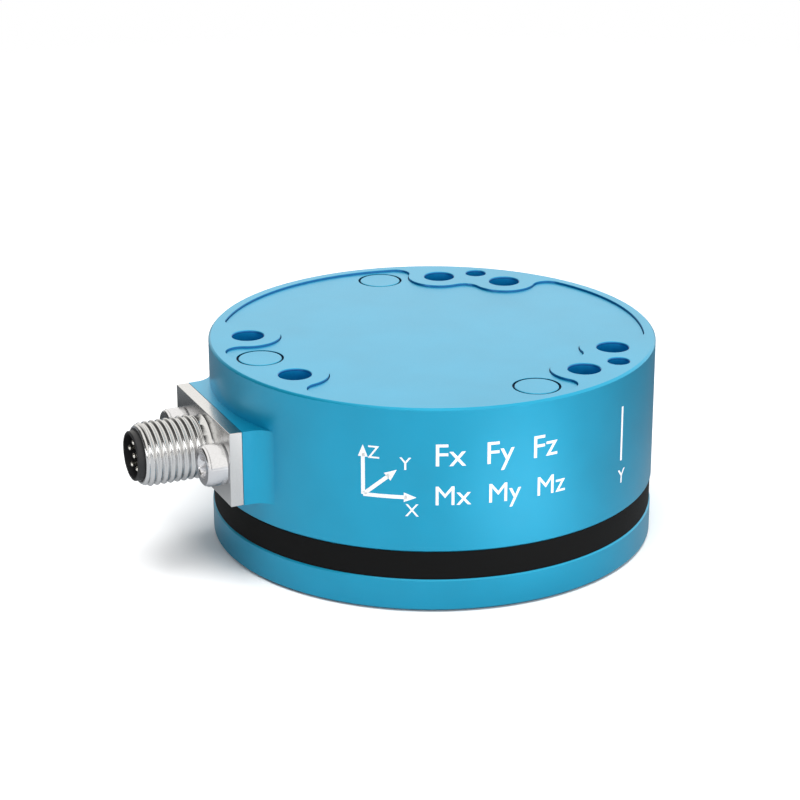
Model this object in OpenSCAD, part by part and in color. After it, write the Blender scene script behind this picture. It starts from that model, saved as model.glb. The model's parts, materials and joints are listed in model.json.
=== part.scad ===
// Six-axis force torque sensor: a round body that stands on its base flange.
// Origin at the centre of the base's bottom face, +Z up, connector along -X.
// A cross-shaped strain element joins the base flange to the housing, and the
// seal band covers the measuring gap between them.

/* [Body] */
// Outer diameter of the body
body_d = 85; // [77:0.5:94]
// Height of the body from the base's bottom face to the top rim
body_h = 38.7; // [35:0.1:44]
// Height of the base flange's outer edge
base_h = 6.1; // [5.5:0.1:7]
// Height of the seal band
band_h = 5.4; // [4.6:0.1:6]
// How far the seal band lies below the body's outer face
band_inset = 0.2; // [0.1:0.05:0.6]
// Thickness of the housing's wall round the strain element
wall_t = 4.4; // [3.8:0.1:5]
// Edge chamfer of the top rim and of the base's bottom
edge_chamfer = 0.4; // [0.2:0.05:0.8]
// Edge chamfer on both sides of the seal band
split_chamfer = 0.25; // [0.1:0.05:0.5]
// Width of the rim round the cover plate
rim_w = 2.1; // [1.8:0.1:3]

/* [Mounting holes] */
// Distance of the six mounting holes' axes from the body's outer face
hole_edge = 7.5; // [7:0.1:8.5]
// Diameter of the mounting holes
hole_d = 6; // [5:0.5:7]
// Depth of the mounting holes
hole_depth = 10; // [8:0.5:12]
// Angle from the connector to the middle of each pair of holes
pair_mid_ang = 128.6; // [126:0.2:131]
// Distance between the two holes of a pair
pair_step = 13.6; // [12.8:0.1:15]
// Distance of the two top locating holes' axes from the body's outer face
dowel_edge = 4.2; // [3.8:0.1:4.6]
// Diameter of the top locating holes
dowel_d = 4; // [3:0.5:5]
// Depth of the top locating holes
dowel_depth = 8; // [6:0.5:10]
// Edge chamfer at the mouths of the holes
mouth_chamfer = 0.2; // [0.1:0.05:0.4]

/* [Cover] */
// How far the cover plate lies below the rim
plate_drop = 0.4; // [0.2:0.1:0.8]
// Thickness of the cover plate
plate_t = 3.4; // [3:0.1:3.8]
// Gap between the cover plate's edge and the housing
plate_gap = 0.15; // [0.1:0.05:0.3]
// Radius of the housing's lobe round each mounting hole
lobe_r = 6.2; // [5.6:0.1:6.6]
// Radius of the plate's corners beside each lobe
corner_r = 3; // [2.6:0.1:3.4]
// Radius of the plate's tongue between two lobes
tongue_r = 3.1; // [2.8:0.1:3.6]
// Width of the ledge that carries the cover plate
ledge_w = 1.8; // [1.4:0.1:2.2]
// Thickness of the cover gasket
gasket_t = 0.4; // [0.3:0.1:0.8]
// Width of the plate between each plug and the lobe beside it
plug_web = 1.4; // [1:0.1:2]
// Diameter of the plug holes in the cover plate
plug_hole_d = 8.8; // [8.4:0.1:9.2]
// Width of the groove round each plug's top
plug_groove_w = 0.4; // [0.2:0.05:0.6]
// Thickness of the plugs
plug_t = 1.6; // [1.2:0.1:1.8]
// Radius of the housing's boss under each cover screw
cover_boss_r = 4.6; // [4:0.1:5]
// Length of the cover screws
cover_screw_l = 5; // [4.5:0.5:6]

/* [Connector] */
// Height of the connector's axis
connector_z = 23; // [22.4:0.1:24]
// Thread diameter of the connector's barrel
barrel_d = 12; // [11:0.5:12.5]
// Length of the barrel in front of its flange
barrel_l = 12.75; // [11:0.25:15]
// Length of the barrel's thread
thread_l = 7.5; // [5:0.25:8]
// Length of the barrel's tapered lead-in
lead_in_l = 1.2; // [0.6:0.1:1.6]
// Width of the connector flange, and of the boss behind it, past the screws' heads
flange_margin = 0.35; // [0.1:0.05:1]
// Height of the connector flange and of the boss behind it
flange_h = 14.2; // [13:0.2:15]
// Thickness of the connector flange
flange_t = 2.5; // [2:0.1:3.5]
// How far the boss stands out past the body's radius
boss_out = 1.65; // [1.4:0.05:3]
// Radius of the boss's fillets into the body
boss_fillet = 4; // [2:0.25:4.25]
// Gap between the flange screws' heads and the barrel
flange_head_gap = 0.35; // [0.2:0.05:0.6]
// Diameter of the flange screws' heads
flange_head_d = 7.7; // [7:0.1:8]
// Height of the flange screws' heads
flange_head_h = 3.9; // [3.5:0.1:5]
// Length of the flange screws under their heads
flange_screw_l = 9; // [7:0.5:10]
// Diameter of the plastic insert
insert_d = 9.3; // [9:0.1:9.5]
// How far the insert stands out of the barrel
insert_out = 1.3; // [0.5:0.1:2]
// Depth of the insert's socket
socket_depth = 7.5; // [6:0.5:9]
// Wall of the insert's socket
socket_wall = 0.55; // [0.4:0.05:0.7]
// Diameter of the contact pins
contact_d = 1; // [0.8:0.1:1]
// Gap between the outer contact pins and the socket's key
contact_gap = 0.4; // [0.2:0.1:0.6]
// Height of the socket's key
key_h = 0.6; // [0.4:0.1:0.8]
// Width of the socket's key
key_w = 0.8; // [0.6:0.1:1]
// Angle of the first outer contact pin above the -Y side
contact_ang = 20.5; // [10:0.5:30]
// How far the contact pins end below the insert's rim
contact_recess = 0.4; // [0.2:0.1:1]
// Length of the solder ends behind the insert
solder_l = 4; // [3:0.5:4.5]
// Section diameter of the O-ring behind the flange
oring_d = 1; // [0.7:0.1:1]

/* [Strain element] */
// Depth of the housing's pocket for the element's rim
pocket_h = 5; // [4.6:0.1:5.6]
// Height of the strain element from its hub seat to its rim seat
element_h = 7.5; // [7:0.1:7.6]
// How far the rim's underside lies above the hub's
rim_lift = 0.4; // [0.2:0.1:0.8]
// How far the hub and beams lie below the rim's top
beam_drop = 0.3; // [0.2:0.1:0.6]
// How far the beams' underside lies above the hub's
beam_lift = 0.6; // [0.4:0.1:1.2]
// Width of the rim from its outer face to the compliant webs
element_rim_w = 9; // [8.6:0.1:9.4]
// Thickness of the compliant web at each beam's end
web_t = 1.8; // [1.2:0.1:2]
// Width of the slot behind each compliant web
slot_w = 1.6; // [1.2:0.1:2]
// Metal left between a slot's end and the rim screw's counterbore beside it
slot_end_w = 1.3; // [0.8:0.1:2.5]
// Radius of the hub
hub_r = 14.5; // [13.5:0.1:15.5]
// Width of the base's seat past the hub
hub_margin = 1.5; // [1:0.1:2.5]
// Radius of the bore through the hub
hub_bore_r = 3; // [2:0.1:3.2]
// Width of the four beams
beam_w = 7; // [5:0.1:8]
// Radius of the fillets at the beams' ends
beam_fillet = 1.5; // [0.8:0.1:2.5]
// Length of a strain gauge along its beam
gauge_l = 4; // [3:0.1:5]
// Width of a strain gauge
gauge_w = 3; // [2:0.1:3.6]
// Thickness of a strain gauge
gauge_t = 0.12; // [0.08:0.02:0.2]
// Thickness of the gauge circuit
flex_t = 0.2; // [0.15:0.05:0.3]
// Width of the gauge circuit's tail
tail_w = 5; // [4:0.5:6]

/* [Fasteners] */
// Diameter of the rim and cover screws
small_screw_d = 3; // [2.5:0.5:3]
// Head diameter of the rim screws
rim_head_d = 5.5; // [5:0.1:5.7]
// Length of the rim screws' thread in the deck
rim_thread_l = 3.1; // [2.5:0.1:3.5]
// Distance from the pocket's wall to the rim screws' axes
rim_screw_in = 3.5; // [3.3:0.1:3.8]
// Diameter of the hub and flange screws
large_screw_d = 4; // [3.5:0.5:4]
// Head diameter of the hub screws
hub_head_d = 7; // [6:0.1:7.2]
// Head height of the hub screws
hub_head_h = 2.8; // [2.4:0.1:3]
// Length of the hub screws under their heads
hub_screw_l = 8; // [7:0.5:9]
// Radius on which the hub screws lie
hub_screw_pos_r = 10.5; // [9.8:0.1:11]
// Diameter of the rim and hub locating pins
locating_pin_d = 3; // [2.5:0.1:3.2]
// How far the hub locating pins lie inside the hub screws' circle
hub_pin_in = 4.3; // [4:0.1:5]
// Diameter of the overload pins
overload_pin_d = 4; // [3:0.1:4.4]
// Free play round the overload pins in the base
overload_play = 0.15; // [0.1:0.05:0.4]

/* [Base] */
// Diameter of the centring recess in the base
pilot_d = 31.5; // [31:0.1:34]
// Depth of the centring recess
pilot_depth = 3.2; // [2.8:0.1:3.4]
// Pitch circle of the base's four mounting holes
base_pcd = 50; // [48:0.5:52]
// Diameter of the base's mounting holes
base_hole_d = 6; // [5:0.5:6.5]
// Depth of the base's mounting holes
base_hole_depth = 6; // [5:0.2:6.2]
// Diameter of the base's locating hole
base_dowel_d = 6; // [5:0.5:6.5]
// Depth of the base's locating hole
base_dowel_depth = 5; // [4:0.5:5.5]
// Height of the base's step inside the seal band
register_h = 1.5; // [1:0.1:1.6]
// Thickness of the seal band's outer wall
band_wall = 1.6; // [1.2:0.1:2]
// Thickness of the seal band's two lips
band_lip_t = 1.1; // [0.8:0.1:1.6]

/* [Electronics] */
// Thickness of the housing's deck
deck_t = 4.5; // [4:0.1:4.6]
// Width of the deck between its opening and the standoffs
deck_edge = 1.2; // [0.6:0.1:2]
// Distance of the standoffs' axes from the lower board's edge
post_in = 3.55; // [3.2:0.05:4]
// Height of the standoffs on the deck
post_h = 1.5; // [1.4:0.1:2.4]
// Width across the flats of the standoffs
post_af = 4.5; // [4:0.1:5]
// Diameter of the standoffs' threads
post_stud_d = 2.5; // [2:0.1:2.6]
// Thickness of the two circuit boards
board_t = 1; // [0.8:0.1:1.6]
// Gap between the lower board and the lobes
board_gap = 1; // [0.6:0.1:2]
// How far the upper board's edge lies inside the lower one's
board_step = 0.8; // [0.2:0.1:0.9]
// Height of the tallest part on the upper board
tall_part_h = 1.6; // [1.5:0.1:2.4]
// Free height over the tallest part
lid_gap = 0.4; // [0.2:0.1:0.8]
// Size unit of the parts on the boards
part_unit = 1; // [0.8:0.05:1.1]
// Diameter of the round capacitors on the lower board
capacitor_d = 4.5; // [3:0.1:5]
// Height of the round capacitors
capacitor_h = 2.4; // [1.5:0.1:3]
// Length of the header that joins the boards
header_l = 14; // [10:0.5:16]
// Width of the header
header_w = 5; // [4:0.1:5.5]

/* [Hidden] */
$fn = 128;

// Small clearances: a sliding or pressed fit, and a thread in its tapped hole
fit_gap = 0.04;
thread_gap = 0.05;
// How far a plain shank lies below the thread beside it
shank_drop = 0.2;
// A clearance hole round a screw, and round its head
shank_gap = 0.2;
head_gap = 0.2;
// Cuts run past the face that they open through by this much
past = 1;

// Colours
anodised = [0.13, 0.56, 0.76];
silver = [0.82, 0.83, 0.85];
steel = [0.6, 0.61, 0.63];
black = [0.07, 0.07, 0.08];
gold = [0.85, 0.66, 0.3];
board_green = [0.06, 0.34, 0.2];
amber = [0.8, 0.45, 0.12];

// Levels from the base upward
body_r = body_d / 2;
split_z = base_h + band_h;
deck_z = split_z + pocket_h;
bay_z = deck_z + deck_t;
plate_top_z = body_h - plate_drop;
plate_z = plate_top_z - plate_t;
ledge_z = plate_z - gasket_t;
hub_seat_z = deck_z - element_h;
rim_z = hub_seat_z + rim_lift;
beam_z = hub_seat_z + beam_lift;
beam_top_z = deck_z - beam_drop;
base_top_z = base_h + register_h;
bridge_z = bay_z + post_h;
bridge_top_z = bridge_z + board_t;
spacer_h = ledge_z - bay_z - post_h - 2 * board_t - tall_part_h - lid_gap;
interface_z = bridge_top_z + spacer_h;
interface_top_z = interface_z + board_t;

// Radii from the outside inward
recess_r = body_r - rim_w;
pocket_r = body_r - wall_t;
register_r = body_r - wall_t + 0.9;
hole_pos_r = body_r - hole_edge;
dowel_pos_r = body_r - dowel_edge;
element_r = pocket_r - fit_gap;
rim_in_r = element_r - element_rim_w;
rim_screw_pos_r = pocket_r - rim_screw_in;
board_r = hole_pos_r - lobe_r - ledge_w - board_gap;
post_pos_r = board_r - post_in;
deck_open_r = post_pos_r - post_af / 2 - deck_edge;
hub_seat_r = hub_r + hub_margin;

// Angles round the body, with the connector at half a turn. A plug lies over the
// connector and one before each pair of holes, each plug_step_ang from a mounting hole.
connector_ang = 180;
plug_step_ang = 2 * asin((plug_hole_d / 2 + plug_web + plate_gap + lobe_r) / (2 * hole_pos_r));
pair_half_ang = asin(pair_step / 2 / hole_pos_r);
single_angs = [connector_ang - plug_step_ang, connector_ang + plug_step_ang];
pair_angs = [connector_ang - pair_mid_ang, connector_ang + pair_mid_ang];
hole_angs = concat(single_angs, [for (m = pair_angs, s = [-1, 1]) m + s * pair_half_ang]);
plug_ang = pair_mid_ang - pair_half_ang - plug_step_ang;
plug_angs = [for (s = [-1, 0, 1]) connector_ang + s * plug_ang];
land_spans = [single_angs, [plug_angs[0] - plug_step_ang, plug_angs[0]],
    [plug_angs[2], plug_angs[2] + plug_step_ang]];
beam_angs = [0, 90, 180, 270];
rim_screw_angs = [for (i = [0:7]) 22.5 + 45 * i];
quarter_angs = [45, 135, 225, 315];
rim_pin_angs = [33.75, 213.75];
hub_screw_angs = [for (i = [0:5]) 30 + 60 * i];
half_turn_angs = [0, 180];

// Cover outline: each lobe meets the recess's circle in a corner fillet whose centre lies
// on corner_pos_r, corner_ang past the lobe's own centre. A tongue fillet touches both
// lobes of a pair. Arcs that touch cross by arc_bite, so that they never just miss.
arc_bite = 0.002;
corner_pos_r = recess_r - corner_r + arc_bite;
corner_ang = acos((pow(hole_pos_r, 2) + pow(corner_pos_r, 2)
    - pow(lobe_r + corner_r - arc_bite, 2)) / (2 * hole_pos_r * corner_pos_r));
tongue_pos_r = hole_pos_r * cos(pair_half_ang)
    - sqrt(pow(lobe_r + tongue_r - arc_bite, 2) - pow(pair_step / 2, 2));

// Slots of the strain element: each ends slot_end_w short of the rim screws' counterbores
slot_x = rim_in_r + web_t + slot_w / 2;
slot_end_y = rim_screw_pos_r * sin(rim_screw_angs[0])
    - sqrt(pow((rim_head_d + slot_w) / 2 + head_gap + slot_end_w, 2)
    - pow(rim_screw_pos_r * cos(rim_screw_angs[0]) - slot_x, 2));

// Connector, measured outward from the body's axis
boss_reach = body_r + boss_out;
flange_face = boss_reach + flange_t;
barrel_r = barrel_d / 2;
flange_screw_off = barrel_r + flange_head_gap + flange_head_d / 2;
flange_w = 2 * (flange_screw_off + flange_head_d / 2 + flange_margin);
barrel_tip = flange_face + barrel_l;
thread_end = barrel_tip - lead_in_l;
thread_start = thread_end - thread_l;
insert_r = insert_d / 2;
socket_r = insert_r - socket_wall;
contact_ring_r = socket_r - key_h - contact_gap - contact_d / 2;
insert_tip = barrel_tip + insert_out;
socket_floor = insert_tip - socket_depth;
spigot_r = insert_r + 0.55;
spigot_end = boss_reach - 4;
insert_end = spigot_end - 1.6;
contact_end = insert_end - solder_l;
contact_tip = insert_tip - contact_recess;
connector_bore_r = spigot_r + 0.1;
lead_bore_r = contact_ring_r + contact_d * 0.6 + 1;
oring_r = (connector_bore_r + flange_h / 2) / 2;
contact_angs = [for (i = [0:4]) contact_ang + 72 * i];
contact_pos = concat([[0, 0]],
    [for (a = contact_angs) [contact_ring_r * sin(a), -contact_ring_r * cos(a)]]);

// Screws and pins
hub_pin_pos_r = hub_screw_pos_r - hub_pin_in;
rim_head_h = small_screw_d;
rim_seat_z = rim_z + rim_head_h + head_gap;
rim_screw_l = deck_z - rim_seat_z + rim_thread_l;
base_seat_z = pilot_depth + hub_head_h + head_gap;
cover_head_h = small_screw_d / 2 + shank_gap;
cover_seat_z = plate_top_z - plug_t;
pin_half_l = 3;
overload_hold = 4.6;
overload_reach = 4.4;
overload_end_gap = 0.8;

// Leads from the contacts to the plug on the lower board
lead_r = 0.4;
lead_pitch = 1.25;
lead_order = [1, 5, 0, 2, 4, 3];
lead_steps = 10;
lead_sides = 8;
plug_h = 2.4;
plug_w = 6 * lead_pitch + 1;
plug_l = 6;
plug_seat = 3;
plug_in = 4.5;
lead_socket_wall = 0.5;
plug_front_x = -board_r + plug_in;
plug_back_x = plug_front_x - plug_l;
plug_z = bridge_top_z + lead_socket_wall + fit_gap;

// Gauge circuit: its ring on the hub, and the bend of its tail up to the tail's socket
circuit_in_r = hub_bore_r + 2;
tail_bend_r = 1.5;
tail_notch = 0.3;
tail_x = circuit_in_r - tail_bend_r - flex_t;
tail_seat = 1.4;
tail_socket_h = 2;
tail_socket_z = bridge_z - tail_socket_h;

function polar(r, a) = [r * cos(a), r * sin(a)];
function unit(v) = v / norm(v);
function hex_r(across_flats) = across_flats / 2 / cos(30);

// A copy of the children at radius r for each angle
module around(angs, r = 0) {
    for (a = angs) {
        rotate([0, 0, a]) {
            translate([r, 0, 0]) {
                children();
            }
        }
    }
}

// The children with their Z axis along the connector, outward, and their X axis upward
module on_connector() {
    translate([0, 0, connector_z]) {
        rotate([0, -90, 0]) {
            children();
        }
    }
}

// A round bar, bored or not, between two levels
module bar(r, z0, z1) {
    translate([0, 0, z0]) {
        cylinder(h = z1 - z0, r = r);
    }
}

// A hole of radius r from z0 up to its mouth at z1, with a chamfered edge
module mouth_hole(r, z0, z1) {
    bar(r, z0, z1 + past);
    translate([0, 0, z1 - mouth_chamfer]) {
        cylinder(h = 2 * mouth_chamfer, r1 = r, r2 = r + 2 * mouth_chamfer);
    }
}

// A plate of the given plan between two levels
module slab(z0, z1) {
    translate([0, 0, z0]) {
        linear_extrude(height = z1 - z0) {
            children();
        }
    }
}

// A block between two corners
module block(p0, p1) {
    translate(p0) {
        cube(p1 - p0);
    }
}

// Plan of an arm along +X, of half width a, that leaves a disc of radius r in two fillets
module arm_plan(reach, a, r, fillet) {
    centre_y = a + fillet;
    centre_x = sqrt(pow(r + fillet, 2) - pow(centre_y, 2));
    difference() {
        polygon([[0, 0], [centre_x, -centre_y], [centre_x, -a], [reach, -a],
            [reach, a], [centre_x, a], [centre_x, centre_y]]);
        for (s = [-1, 1]) {
            translate([centre_x, s * centre_y]) {
                circle(r = fillet);
            }
        }
    }
}

// Plan of the fillets where an arm of half width a meets a ring of inner radius r
module ring_fillets(a, r, fillet) {
    centre_y = a + fillet;
    centre_x = sqrt(pow(r - fillet, 2) - pow(centre_y, 2));
    reach = (r + web_t / 2) / (r - fillet);
    for (s = [-1, 1]) {
        difference() {
            polygon([[centre_x, 0], [centre_x, s * centre_y],
                [centre_x * reach, s * centre_y * reach], [r + web_t / 2, 0]]);
            translate([centre_x, s * centre_y]) {
                circle(r = fillet);
            }
        }
    }
}

// What the lobes about one angle take out of the cover outline. half is half the angle
// between two lobes, or 0 for a single one, and inset moves the outline inward.
module lobe_cut(mid, half, inset) {
    lobes = half > 0 ? [mid - half, mid + half] : [mid];
    first = lobes[0];
    last = lobes[len(lobes) - 1];
    far = body_r * 1.3;
    difference() {
        union() {
            polygon(concat(
                half > 0 ? [polar(tongue_pos_r, mid)] : [],
                [polar(hole_pos_r, first), polar(corner_pos_r, first - corner_ang),
                polar(far, first - corner_ang), polar(far, last + corner_ang),
                polar(corner_pos_r, last + corner_ang)],
                half > 0 ? [polar(hole_pos_r, last)] : []
            ));
            for (a = lobes) {
                translate(polar(hole_pos_r, a)) {
                    circle(r = lobe_r + inset);
                }
            }
        }
        for (a = [first - corner_ang, last + corner_ang]) {
            translate(polar(corner_pos_r, a)) {
                circle(r = corner_r - inset);
            }
        }
        if (half > 0) {
            translate(polar(tongue_pos_r, mid)) {
                circle(r = tongue_r - inset);
            }
        }
    }
}

// The cover plate's outline, moved inward by inset
module cover_outline(inset) {
    difference() {
        circle(r = recess_r - inset);
        for (a = single_angs) {
            lobe_cut(a, 0, inset);
        }
        for (a = pair_angs) {
            lobe_cut(a, pair_half_ang, inset);
        }
    }
}

// Plan of the bosses under the cover screws, with the lands that join each one to the
// lobes beside it
module boss_plan() {
    around(plug_angs, hole_pos_r) {
        circle(r = cover_boss_r);
    }
    for (span = land_spans) {
        polygon([polar(hole_pos_r, span[0]), polar(body_r, span[0]),
            polar(body_r, span[1]), polar(hole_pos_r, span[1])]);
    }
}

// A hexagon socket, across the flats given, with its mouth at z1
module hex_socket(across_flats, z0, z1) {
    translate([0, 0, z0]) {
        cylinder(h = z1 - z0 + past, r = hex_r(across_flats), $fn = 6);
    }
}

// A socket head screw that stands on its head's seat at Z = 0, with its shank along -Z
module cap_screw(d, length, head_d, head_h) {
    chamfer = head_h * 0.08;
    difference() {
        rotate_extrude() {
            polygon([[0, -length], [d / 2 - chamfer, -length], [d / 2, chamfer - length],
                [d / 2, 0], [head_d / 2, 0], [head_d / 2, head_h - chamfer],
                [head_d / 2 - chamfer, head_h], [0, head_h]]);
        }
        hex_socket(d * 0.8, head_h * 0.45, head_h);
    }
}

// A countersunk screw with its head's top at Z = 0
module flat_screw(d, length, head_h) {
    difference() {
        rotate_extrude() {
            polygon([[0, -length], [d / 2, -length], [d / 2, -head_h], [d, -head_h + d / 2],
                [d, 0], [0, 0]]);
        }
        hex_socket(d * 0.66, -head_h * 0.7, 0);
    }
}

// Housing: the blue body with the top face, the recess for the cover plate, the bay for
// the boards, the deck under it, the pocket for the strain element and the connector boss
module housing() {
    color(anodised) difference() {
        union() {
            rotate_extrude() {
                polygon([[0, split_z], [body_r - split_chamfer, split_z],
                    [body_r, split_z + split_chamfer], [body_r, body_h - edge_chamfer],
                    [body_r - edge_chamfer, body_h], [0, body_h]]);
            }
            slab(connector_z - flange_h / 2, connector_z + flange_h / 2) {
                rotate([0, 0, connector_ang]) {
                    arm_plan(boss_reach, flange_w / 2, body_r, boss_fillet);
                }
            }
        }
        slab(ledge_z, body_h + past) {
            cover_outline(0);
        }
        slab(bay_z, ledge_z + past) {
            difference() {
                cover_outline(ledge_w);
                boss_plan();
            }
        }
        bar(deck_open_r, split_z - past, bay_z + past);
        bar(pocket_r, split_z - past, deck_z);
        around(hole_angs, hole_pos_r) {
            mouth_hole(hole_d / 2, body_h - hole_depth, body_h);
        }
        around(pair_angs, dowel_pos_r) {
            mouth_hole(dowel_d / 2, body_h - dowel_depth, body_h);
        }
        around(plug_angs, hole_pos_r) {
            bar(small_screw_d / 2 + thread_gap, cover_seat_z - cover_screw_l - 0.5, ledge_z + past);
        }
        around(rim_screw_angs, rim_screw_pos_r) {
            bar(small_screw_d / 2 + thread_gap, deck_z - past, deck_z + rim_thread_l + 0.5);
        }
        around(rim_pin_angs, rim_screw_pos_r) {
            bar(locating_pin_d / 2 + fit_gap, deck_z - past, deck_z + pin_half_l + 0.3);
        }
        around(quarter_angs, post_pos_r) {
            bar(post_stud_d / 2 + thread_gap, deck_z - past, bay_z + past);
        }
        on_connector() {
            bar(lead_bore_r, rim_in_r, boss_reach);
            bar(connector_bore_r, insert_end - head_gap, boss_reach + past);
            difference() {
                bar(oring_r + oring_d / 2, boss_reach - oring_d, boss_reach + past);
                bar(oring_r - oring_d / 2, boss_reach - oring_d - past, boss_reach + 2 * past);
            }
            for (s = [-1, 1]) {
                translate([0, s * flange_screw_off, 0]) {
                    bar(large_screw_d / 2 + thread_gap, flange_face - flange_screw_l - 0.6,
                        boss_reach + past);
                }
            }
        }
    }
}

// Cover plate: the flat lid in the top recess, with its tongues between the lobes
module cover_plate() {
    color(anodised) difference() {
        slab(plate_z, plate_top_z) {
            cover_outline(plate_gap);
        }
        around(plug_angs, hole_pos_r) {
            bar(plug_hole_d / 2, cover_seat_z, plate_top_z + past);
            bar(small_screw_d / 2 + shank_gap, plate_z - past, plate_top_z);
            translate([0, 0, cover_seat_z - cover_head_h]) {
                cylinder(h = cover_head_h + past, r1 = small_screw_d - cover_head_h + shank_gap,
                    r2 = small_screw_d + past + shank_gap);
            }
        }
    }
}

// Gasket under the cover plate, with an eye over each screw boss
module cover_gasket() {
    color(black) slab(ledge_z, plate_z) {
        difference() {
            cover_outline(plate_gap);
            difference() {
                cover_outline(ledge_w);
                boss_plan();
            }
            around(plug_angs, hole_pos_r) {
                circle(r = small_screw_d / 2 + shank_gap);
            }
        }
    }
}

// Plugs that close the cover screws' holes flush with the plate
module cover_plugs() {
    fitted_r = plug_hole_d / 2 - fit_gap;
    top_r = plug_hole_d / 2 - plug_groove_w;
    color(anodised) around(plug_angs, hole_pos_r) {
        rotate_extrude() {
            polygon([[0, cover_seat_z], [fitted_r, cover_seat_z],
                [fitted_r, cover_seat_z + plug_t / 2], [top_r, cover_seat_z + plug_t / 2],
                [top_r, plate_top_z - mouth_chamfer / 2],
                [top_r - mouth_chamfer / 2, plate_top_z], [0, plate_top_z]]);
        }
    }
}

// Countersunk screws that hold the cover plate on its bosses
module cover_screws() {
    color(steel) around(plug_angs, hole_pos_r) {
        translate([0, 0, cover_seat_z]) {
            flat_screw(small_screw_d, cover_screw_l, cover_head_h);
        }
    }
}

// Seal band: a rubber ring of C section that closes the measuring gap
module seal_band() {
    outer_r = body_r - band_inset;
    wall_r = outer_r - band_wall;
    lip_r = register_r + 2 * fit_gap;
    edge = split_chamfer / 2;
    color(black) rotate_extrude() {
        polygon([[lip_r, base_h], [outer_r - edge, base_h], [outer_r, base_h + edge],
            [outer_r, split_z - edge], [outer_r - edge, split_z], [lip_r, split_z],
            [lip_r, split_z - band_lip_t], [wall_r, split_z - band_lip_t],
            [wall_r, base_h + band_lip_t], [lip_r, base_h + band_lip_t]]);
    }
}

// Base flange: the lower blue disc that the load side bolts to, with its centring recess
module base_flange() {
    color(anodised) difference() {
        rotate_extrude() {
            polygon([[0, 0], [body_r - edge_chamfer, 0], [body_r, edge_chamfer],
                [body_r, base_h - split_chamfer], [body_r - split_chamfer, base_h],
                [register_r, base_h], [register_r, base_top_z], [hub_seat_r, base_top_z],
                [hub_seat_r, hub_seat_z], [0, hub_seat_z]]);
        }
        bar(pilot_d / 2, -past, pilot_depth);
        around(quarter_angs, base_pcd / 2) {
            bar(base_hole_d / 2, -past, base_hole_depth);
        }
        translate([base_pcd / 2, 0, 0]) {
            bar(base_dowel_d / 2, -past, base_dowel_depth);
        }
        around(hub_screw_angs, hub_screw_pos_r) {
            bar(hub_head_d / 2 + head_gap, 0, base_seat_z);
            bar(large_screw_d / 2 + shank_gap, 0, hub_seat_z + past);
        }
        around(half_turn_angs, hub_pin_pos_r) {
            bar(locating_pin_d / 2 + fit_gap, hub_seat_z - pin_half_l - 0.3, hub_seat_z + past);
        }
        around(quarter_angs, rim_screw_pos_r) {
            bar(overload_pin_d / 2 + overload_play, rim_z - overload_reach - overload_end_gap,
                base_top_z + past);
        }
    }
}

// Strain element: a hub on four beams that end in thin compliant webs of the rim
module strain_element() {
    color(silver) difference() {
        union() {
            slab(rim_z, deck_z) {
                difference() {
                    circle(r = element_r);
                    circle(r = rim_in_r);
                }
            }
            slab(hub_seat_z, beam_top_z) {
                circle(r = hub_r);
            }
            slab(beam_z, beam_top_z) {
                around(beam_angs) {
                    arm_plan(rim_in_r + web_t / 2, beam_w / 2, hub_r, beam_fillet);
                    ring_fillets(beam_w / 2, rim_in_r, beam_fillet);
                }
            }
        }
        bar(hub_bore_r, hub_seat_z - past, deck_z + past);
        around(beam_angs) {
            slab(rim_z - past, deck_z + past) {
                translate([slot_x, 0]) {
                    square([slot_w, 2 * slot_end_y], center = true);
                    for (s = [-1, 1]) {
                        translate([0, s * slot_end_y]) {
                            circle(d = slot_w);
                        }
                    }
                }
            }
        }
        around(rim_screw_angs, rim_screw_pos_r) {
            bar(rim_head_d / 2 + head_gap, rim_z - past, rim_seat_z);
            bar(small_screw_d / 2 + shank_gap, rim_z, deck_z + past);
        }
        around(rim_pin_angs, rim_screw_pos_r) {
            bar(locating_pin_d / 2 + fit_gap, deck_z - pin_half_l - 0.3, deck_z + past);
        }
        around(quarter_angs, rim_screw_pos_r) {
            bar(overload_pin_d / 2 + fit_gap, rim_z - past, rim_z + overload_hold);
        }
        around(hub_screw_angs, hub_screw_pos_r) {
            bar(large_screw_d / 2 + thread_gap, hub_seat_z - past, base_seat_z + hub_screw_l + 0.5);
        }
        around(half_turn_angs, hub_pin_pos_r) {
            bar(locating_pin_d / 2 + fit_gap, hub_seat_z - past, hub_seat_z + pin_half_l + 0.3);
        }
    }
}

// Strain gauges: one on each of the four faces of each beam, near the hub
module strain_gauges() {
    start = hub_r + beam_fillet;
    side_z = (beam_z + beam_top_z - gauge_w) / 2;
    color(amber) around(beam_angs) {
        for (z = [beam_z - gauge_t, beam_top_z]) {
            block([start, -gauge_w / 2, z], [start + gauge_l, gauge_w / 2, z + gauge_t]);
        }
        for (y = [-beam_w / 2 - gauge_t, beam_w / 2]) {
            block([start, y, side_z], [start + gauge_l, y + gauge_t, side_z + gauge_w]);
        }
    }
}

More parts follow.
